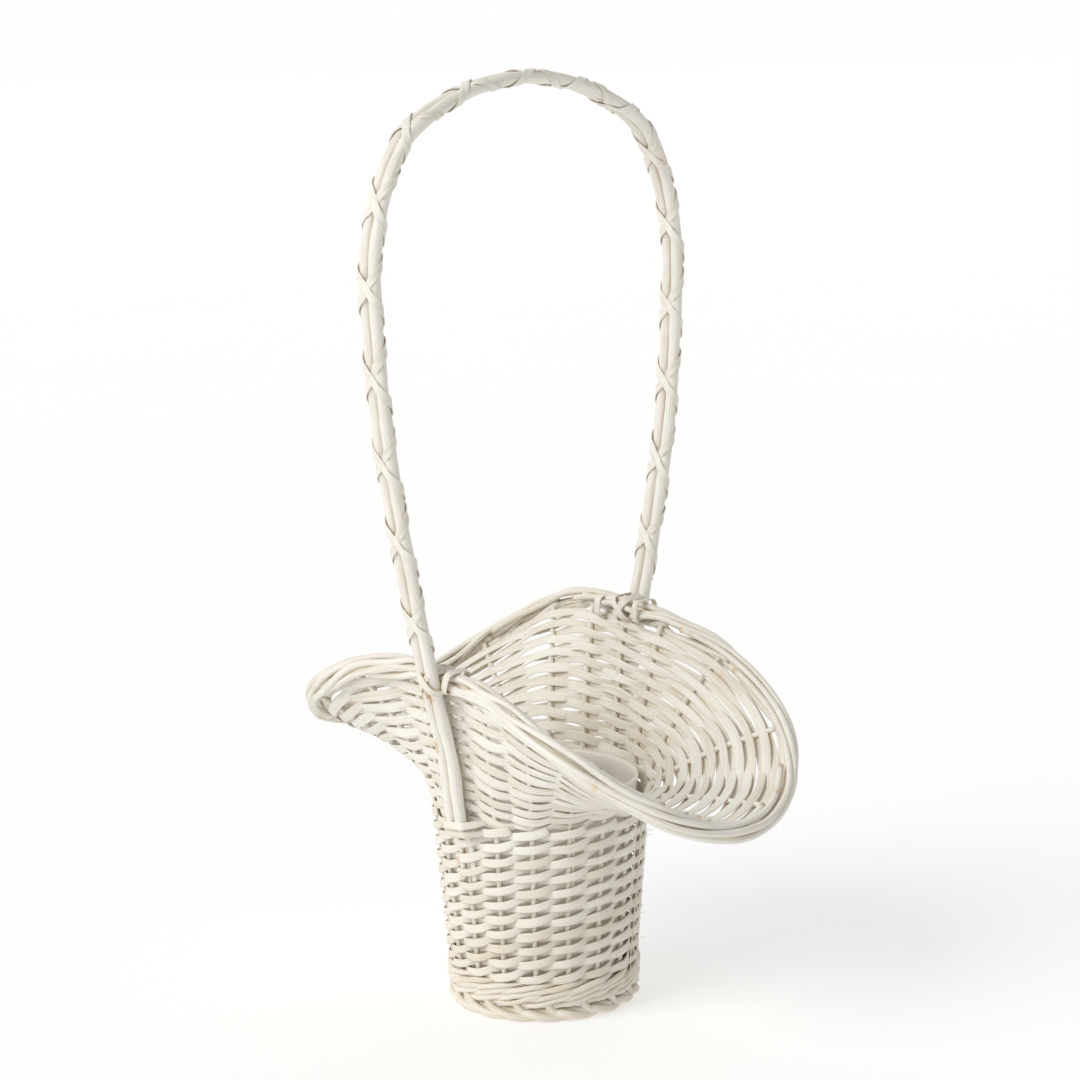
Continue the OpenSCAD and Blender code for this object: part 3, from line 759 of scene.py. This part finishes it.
def rim_border():
    """The rolled border: each stake's upper end is turned down and runs round the rim past five
    others, twisting slowly about the border's middle."""
    nodes = [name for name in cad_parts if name.startswith("rim_rod_")]
    for i in range(STAKES):
        strands = Strands(200 + i)
        rng = strands.rng
        first = FIRST_STAKE + i * STEP
        reach = 5.3 + rng.uniform(0, 0.6)
        rim_strand(strands, first, reach, lead=7.4, thick=RIM_ROD, apart=0.0041, end_bare=0.9)
        piece(f"rim_strand_{i + 1:02d}", strands, rod_paint, "painted_rod", "basket", *nodes)
    strands = Strands(240)
    for first in np.radians((10, 100, 190, 280)):
        rim_strand(strands, first, 5.2, lead=9.0, thick=RIM_ROD, apart=0.0016, end_bare=0.0)
    piece("rim_core", strands, rod_paint, "painted_rod", "basket", *nodes)
    strands = Strands(250)
    for first, reach in ((2.45, 3.3), (2.75, 2.6), (4.9, 2.2), (0.6, 2.0)):
        rim_strand(strands, first, reach, lead=14.0, thick=STRAY_END, apart=0.0056, end_bare=0.9)
    piece("rim_stray_ends", strands, rod_paint, "painted_rod", "basket", *nodes)


# Handle ------------------------------------------------------------------------------------------

def leg_points(side):
    """Half of the handle's middle line, from its tail up, as distance out and height."""
    a = np.array([side * math.pi / 2])
    place, out, _ = wall_place(a, 0.5)
    beside = place[0] + (WALL / 2 + ROD_R + 0.0004) * out[0]
    middle, _, inner, _ = rim_frame(a)
    cross = middle[0] - CROSS_OUT * inner[0]
    arch_z = RIM_Z + RIM_DROOP - RIM_SHOULDER
    bend_z = TAIL_Z + 0.018
    points = [(mid_r(TAIL_Z) + 0.0006, TAIL_Z), (mid_r(bend_z) + 0.0014, bend_z), (LEG_R, THROAT_Z)]
    points += [(abs(beside[1]), beside[2]), (abs(cross[1]), cross[2])]
    points += [(y, arch_z + rise * (HANDLE_TOP - arch_z)) for y, rise in ARCH]
    return points


def handle_line():
    """The handle's middle line in the plane X = 0, from the near foot over the top to the far one."""
    near = [(-y, z) for y, z in leg_points(-1)]
    far = leg_points(1)[::-1]
    knots = np.array(near + [(0.0, HANDLE_TOP)] + far)
    gaps = np.linalg.norm(np.diff(knots, axis=0), axis=1)
    speed = np.zeros_like(knots)
    speed[1:-1] = (knots[2:] - knots[:-2]) / (gaps[1:] + gaps[:-1])[:, None]
    speed[0] = (knots[1] - knots[0]) / gaps[0]
    speed[-1] = (knots[-1] - knots[-2]) / gaps[-1]
    points = []
    for i, gap in enumerate(gaps):
        leave = knots[i] + gap / 3 * speed[i]
        arrive = knots[i + 1] - gap / 3 * speed[i + 1]
        for t in np.arange(12) / 12:
            points.append(bezier(t, knots[i], leave, arrive, knots[i + 1]))
    points.append(knots[-1])
    line = np.array(points)
    return np.stack([np.zeros(len(line)), line[:, 0], line[:, 1]], axis=1)


HANDLE = handle_line()
HANDLE_REACH = distance_along(HANDLE)


def handle_at(s):
    return np.stack([np.interp(s, HANDLE_REACH, HANDLE[:, k]) for k in range(3)], axis=-1)


def handle_normal(s):
    """Direction away from the arch's inside."""
    along = unit(handle_at(s + 0.002) - handle_at(s - 0.002))
    return np.cross(along, SIDEWAYS)


def crossing_reach(side):
    """Distance along the handle's line at which it crosses the rim on that side."""
    target = side * leg_points(side)[4][0]
    half = HANDLE[:, 1] * side > 0
    near = np.where(half & (HANDLE[:, 2] > THROAT_Z + 0.03) & (HANDLE[:, 2] < 0.2))[0]
    return HANDLE_REACH[near[np.argmin(np.abs(HANDLE[near, 1] - target))]]


def handle_rods():
    """Two rods side by side. They thicken at a few knots and thin out where they enter the weave."""
    for name, side, size in (("handle_rod_front", 1, 1.0), ("handle_rod_back", -1, 0.96)):
        strands = Strands(300 + side)
        rng = strands.rng
        s = np.linspace(0, HANDLE_REACH[-1], HANDLE_STEPS)
        line = handle_at(s)
        tail = smooth((THROAT_Z - line[:, 2]) / 0.006)
        aside = ROD_ASIDE + 0.0005 * tail + drift(rng, s, 0.00008, 0.06)
        path = line + np.stack([side * aside, 0 * s, 0 * s], axis=1)
        path = path + drift(rng, s, 0.00018, 0.05)[:, None] * handle_normal(s)
        thick = 2.12 * ROD_R * size * (1 + drift(rng, s, 0.022, 0.045))
        for knot in rng.uniform(0.1, 0.9, 7) * HANDLE_REACH[-1]:
            thick = thick * (1 + 0.05 * np.exp(-((s - knot) / 0.0025) ** 2))
        bare = np.zeros((len(s), len(FINE_ROD)))
        if side < 0:
            rubbed = np.exp(-((line[:, 2] - BARE_SPOT_Z) / 0.003) ** 4) * (line[:, 1] < 0)
            outward_corners = [10, 11, 0]
            bare[:, outward_corners] = rubbed[:, None]
        wide, deep = thick * (1 - 0.5 * tail), thick * (1 - 0.42 * tail)
        strands.sweep(path, np.tile(SIDEWAYS, (len(s), 1)), FINE_ROD, wide, deep, bare=bare)
        piece(name + "_willow", strands, rod_paint, "painted_rod", "basket", name)


def pair_outline(turn, lift):
    """Place round the pair of rods at this share of a turn from the middle of their outer side, and
    the direction away from them."""
    r = ROD_R + lift
    arc, flat = math.pi * r, 2 * ROD_ASIDE
    d = (2 * turn * (arc + flat) + arc + flat / 2) % (2 * (arc + flat))
    half = d >= arc + flat
    d = np.where(half, d - arc - flat, d)
    b = np.minimum(d / r, math.pi) - math.pi / 2
    x = ROD_ASIDE + r * np.cos(b) - np.maximum(d - arc, 0)
    y = r * np.sin(b)
    sign = np.where(half, -1.0, 1.0)
    return sign * x, sign * y, sign * np.cos(b), sign * np.sin(b)


def handle_wraps():
    """Two strips wound round both rods in opposite directions, so that they cross front and back."""
    start = crossing_reach(-1) + WRAP_START
    end = crossing_reach(1) - WRAP_START
    turns = (end - start) / WRAP_PITCH
    for name, hand, lift in (("handle_wrap_under", 1, 0.0003), ("handle_wrap_over", -1, 0.0004)):
        strands = Strands(320 + hand)
        rng = strands.rng
        turn = np.linspace(0, turns, int(turns * 44))
        s = start + turn * WRAP_PITCH + drift(rng, turn, 0.0012, 2.3)
        crossing = np.cos(TAU * turn * 2)
        extra = 0.0 if hand > 0 else 0.0006 * smooth(crossing)
        x, y, out_x, out_y = pair_outline(hand * turn, lift + extra)
        normal = handle_normal(s)
        y = y - 0.0007 * np.sign(y) * smooth(1.2 - np.abs(x) / ROD_ASIDE)
        path = handle_at(s) + x[:, None] * SIDEWAYS + y[:, None] * normal
        out = out_x[:, None] * SIDEWAYS + out_y[:, None] * normal
        width = WRAP_W * (1 + drift(rng, turn, 0.07, 1.9))
        strands.sweep(path, out, STRIP, width, WRAP_T, tilt=drift(rng, turn, 0.05, 1.3))
        piece(name + "_strip", strands, flat_paint, "painted_weaver", "basket", name)


# Lashings and bindings ---------------------------------------------------------------------------

def loop_strip(strands, centre, u_dir, v_dir, half_u, half_v, width, start, turns, lift, power=0.5):
    """A strip wound round a rounded box, in the plane of u_dir and v_dir."""
    k = TAU * turns * np.arange(LASHING_STEPS) / (LASHING_STEPS - 1) + start
    grow = 1 + lift * (k - start) / TAU
    c, s = np.cos(k), np.sin(k)
    u = half_u * grow * np.sign(c) * np.abs(c) ** power
    v = half_v * grow * np.sign(s) * np.abs(s) ** power
    path = centre + u[:, None] * u_dir + v[:, None] * v_dir
    out = unit((np.sign(c) * np.abs(c) ** (2 - power) / half_u)[:, None] * u_dir
               + (np.sign(s) * np.abs(s) ** (2 - power) / half_v)[:, None] * v_dir)
    strands.sweep(path, out, STRIP, width, STRIP_T)


# For each turn of a lashing: its slant, its shift along the rim, and whether it takes in the handle.
NEAR_TURNS = ((0.85, 0.0, True), (-0.75, 0.001, True), (1.25, 0.0085, False))
FAR_TURNS = ((0.95, 0.0, True), (-0.85, 0.0, True), (1.5, -0.0125, False), (1.6, 0.0115, False))


def rim_lashing(name, side, turns):
    """Strips wound round the rim, and some of them round the handle too, where the two cross."""
    strands = Strands(340 + side)
    rng = strands.rng
    middle = rim_point(np.array([side * math.pi / 2]))[0]
    inner = abs(middle[1]) - BORDER_IN
    for k, (slant, shift, with_handle) in enumerate(turns):
        outer = abs(middle[1]) + (CROSS_OUT + ROD_R + 0.0012 if with_handle else BORDER_OUT)
        half = (outer - inner) / 2 + 0.0005 * k
        tall = 0.0061 + 0.0003 * k if with_handle else 0.0049
        u_dir = np.array([math.cos(slant), 0.0, math.sin(slant)])
        v_dir = np.array([0.0, float(side), 0.0])
        centre = np.array([shift, side * (inner + outer) / 2, middle[2] + 0.0006])
        width = LASHING_W * (1 + 0.08 * rng.normal())
        loop_strip(strands, centre, u_dir, v_dir, tall, half, width, start=1.0 + k, turns=1.04, lift=0.04)
    piece(name + "_strips", strands, flat_paint, "painted_weaver", "basket", name)


def throat_binding(name, side):
    """Two turns of strip round the handle's foot, with their ends tucked into the weave."""
    strands = Strands(360 + side)
    rng = strands.rng
    for k, z in enumerate((THROAT_Z + 0.0002, THROAT_Z - 0.0031)):
        x = np.linspace(-1, 1, BINDING_STEPS) * BINDING_REACH
        aside = x / BINDING_REACH
        lap = smooth(1 - np.abs(aside) * 0.98) ** 0.6
        wall = body_r(z)
        out_y = wall - 0.0035 + (0.0092 - 0.0008 * k) * np.clip(lap * 1.35, 0, 1)
        y = np.sqrt(np.maximum(out_y ** 2 - x ** 2, 0))
        height = z + 0.0011 * aside * (1 if k == 0 else -0.6) + 0.0006 * aside ** 2
        path = np.stack([x * side * -1, side * y, height], axis=1)
        out = np.tile([0.0, float(side), 0.25], (BINDING_STEPS, 1))
        out = out + 0.6 * np.stack([-side * aside, 0 * x, 0 * x], axis=1)
        width = BINDING_W * (1 - 0.45 * np.abs(aside) ** 3) * (1 + 0.05 * rng.normal())
        strands.sweep(path, out, STRIP, width, STRIP_T)
    piece(name + "_strips", strands, flat_paint, "painted_weaver", "basket", name)


# Liner -------------------------------------------------------------------------------------------

def lathe(name, profile, sides, uneven):
    """Turns a profile of (radius, height), with both ends on the Z axis, round that axis. uneven
    moves each point a little."""
    verts, faces = [], []
    for a in around(sides):
        for r, z in profile:
            verts.append(uneven(a, r, z))
    k = len(profile)
    for i in range(sides):
        for j in range(k - 1):
            i2 = (i + 1) % sides
            faces.append((i * k + j, i2 * k + j, i2 * k + j + 1, i * k + j + 1))
    data = bpy.data.meshes.new(name)
    data.from_pydata(verts, [], faces)
    data.update()
    return data


def liner():
    """The loose pot: a tapered wall, a lip at its mouth, and a bottom raised inside its edge."""
    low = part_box("liner")[0].z
    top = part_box("liner")[1].z
    slope = (LINER_MOUTH_R - LINER_LOW_R) / (top - low)

    def outer(z):
        return LINER_LOW_R + slope * (z - low)

    profile = [(0.0, low + 0.0012), (0.012, low + 0.0012), (0.0265, low + 0.0012), (0.0285, low + 0.0002)]
    profile += [(0.031, low), (0.0345, low)]
    profile += [(LINER_LOW_R - 0.0006, low + 0.0004), (LINER_LOW_R, low + 0.0016)]
    for share in np.linspace(0.05, 0.96, 14):
        z = low + share * (top - low)
        profile.append((outer(z), z))
    rim = [(0.0, -0.0022), (0.0005, -0.0017), (0.0005, -0.0004)]
    rim += [(0.0001, 0.0), (-0.0005, -0.0001), (-0.0009, -0.0006)]
    profile += [(LINER_MOUTH_R - 0.0002 + r, top + z) for r, z in rim]
    for share in np.linspace(0.94, 0.04, 14):
        z = low + share * (top - low)
        profile.append((outer(z) - LINER_WALL, z))
    profile += [(LINER_LOW_R - 0.0014, low + 0.0026), (LINER_LOW_R - 0.0030, low + 0.0017)]
    profile += [(0.031, low + 0.0013), (0.0285, low + 0.0016)]
    profile += [(0.026, low + 0.0024), (0.012, low + 0.0024), (0.0, low + 0.0024)]

    def uneven(a, r, z):
        high = smooth(np.array((z - low) / (top - low)))
        dent = 0.00022 * math.cos(3 * a + 0.6) + 0.00016 * math.cos(5 * a + 2.0) + 0.0001 * math.cos(9 * a)
        r = r + float(high) * (dent - 0.0003)
        return (r * math.cos(a), r * math.sin(a), z)

    data = lathe("liner_pot", profile, LINER_SIDES, uneven)
    data.polygons.foreach_set("use_smooth", [True] * len(data.polygons))
    obj = piece("liner_pot", data, film, "liner_film", "liner", "liner")
    weld = obj.modifiers.new("weld", "WELD")
    weld.merge_threshold = 0.00002


# Studio ------------------------------------------------------------------------------------------

def floor_paper():
    """Paper that comes out white: grey, and glowing a little so that shadows stay light."""
    n = Nodes("white_paper")
    place = n.add("TexCoord").outputs["Object"]
    cloud = n.noise(place, 3.0)
    colour = n.mix(cloud, (0.50, 0.50, 0.50, 1), (0.49, 0.49, 0.49, 1))
    n.link(colour, n.shader.inputs["Base Color"])
    n.shader.inputs["Emission Color"].default_value = (1.0, 1.0, 0.995, 1)
    n.shader.inputs["Emission Strength"].default_value = 0.52
    n.shader.inputs["Roughness"].default_value = 0.95
    return n.material


def studio():
    """A wide floor, surroundings that are brightest ahead of the camera, and two soft suns."""
    data = bpy.data.meshes.new("floor")
    half = 40.0
    corners = [(-half, -half, 0), (half, -half, 0), (half, half, 0), (-half, half, 0)]
    data.from_pydata(corners, [], [(0, 1, 2, 3)])
    data.materials.append(floor_paper())
    floor = bpy.data.objects.new("floor", data)
    bpy.context.scene.collection.objects.link(floor)

    world = bpy.data.worlds.new("studio")
    bpy.context.scene.world = world
    world.use_nodes = True
    nodes, links = world.node_tree.nodes, world.node_tree.links
    background = nodes["Background"]
    background.inputs["Color"].default_value = (1.0, 0.997, 0.99, 1)
    direction = nodes.new("ShaderNodeTexCoord")
    ahead = nodes.new("ShaderNodeVectorMath")
    ahead.operation = "DOT_PRODUCT"
    ahead.inputs[1].default_value = (-0.7, 0.71, 0.0)
    links.new(direction.outputs["Generated"], ahead.inputs[0])
    backdrop = nodes.new("ShaderNodeMapRange")
    backdrop.interpolation_type = "SMOOTHSTEP"
    for title, value in (("From Min", 0.0), ("From Max", 0.8), ("To Min", 0.37), ("To Max", 1.0)):
        backdrop.inputs[title].default_value = value
    links.new(ahead.outputs["Value"], backdrop.inputs[0])
    links.new(backdrop.outputs[0], background.inputs["Strength"])

    def sun(name, toward, spread, strength, tint):
        """A far, soft light that shines from this direction."""
        lamp = bpy.data.lights.new(name, "SUN")
        lamp.angle = math.radians(spread)
        lamp.energy = strength
        lamp.color = tint
        obj = bpy.data.objects.new(name, lamp)
        obj.rotation_euler = (-Vector(toward)).to_track_quat("-Z", "Y").to_euler()
        bpy.context.scene.collection.objects.link(obj)

    sun("key", (-0.2, -0.83, 0.62), 40, 1.93, (1.0, 0.985, 0.955))
    sun("fill", (0.72, -0.70, 0.35), 60, 0.22, (1.0, 0.98, 0.95))


def camera():
    data = bpy.data.cameras.new("camera")
    data.lens = 93.5
    data.sensor_width = 36.0
    data.clip_end = 30.0
    obj = bpy.data.objects.new("camera", data)
    bpy.context.scene.collection.objects.link(obj)
    pitch = 0.180
    heading = math.atan2(0.7088, -0.7054)
    ahead = math.cos(pitch)
    look = Vector((math.cos(heading) * ahead, math.sin(heading) * ahead, -math.sin(pitch)))
    roll = Matrix.Rotation(-0.021, 4, "Z")
    spot = Vector((0.8735, -0.8745, 0.4365))
    obj.matrix_world = Matrix.Translation(spot) @ look.to_track_quat("-Z", "Y").to_matrix().to_4x4() @ roll
    bpy.context.scene.camera = obj


body_weave()
flare_weave()
stakes()
whiskers()
bottom_wale()
foot_border()
base_sticks()
base_weave()
rim_border()
handle_rods()
handle_wraps()
rim_lashing("rim_lashing_near", -1, NEAR_TURNS)
rim_lashing("rim_lashing_far", 1, FAR_TURNS)
throat_binding("throat_binding_near", -1)
throat_binding("throat_binding_far", 1)
liner()
studio()
camera()

bpy.context.scene.view_settings.view_transform = "Standard"
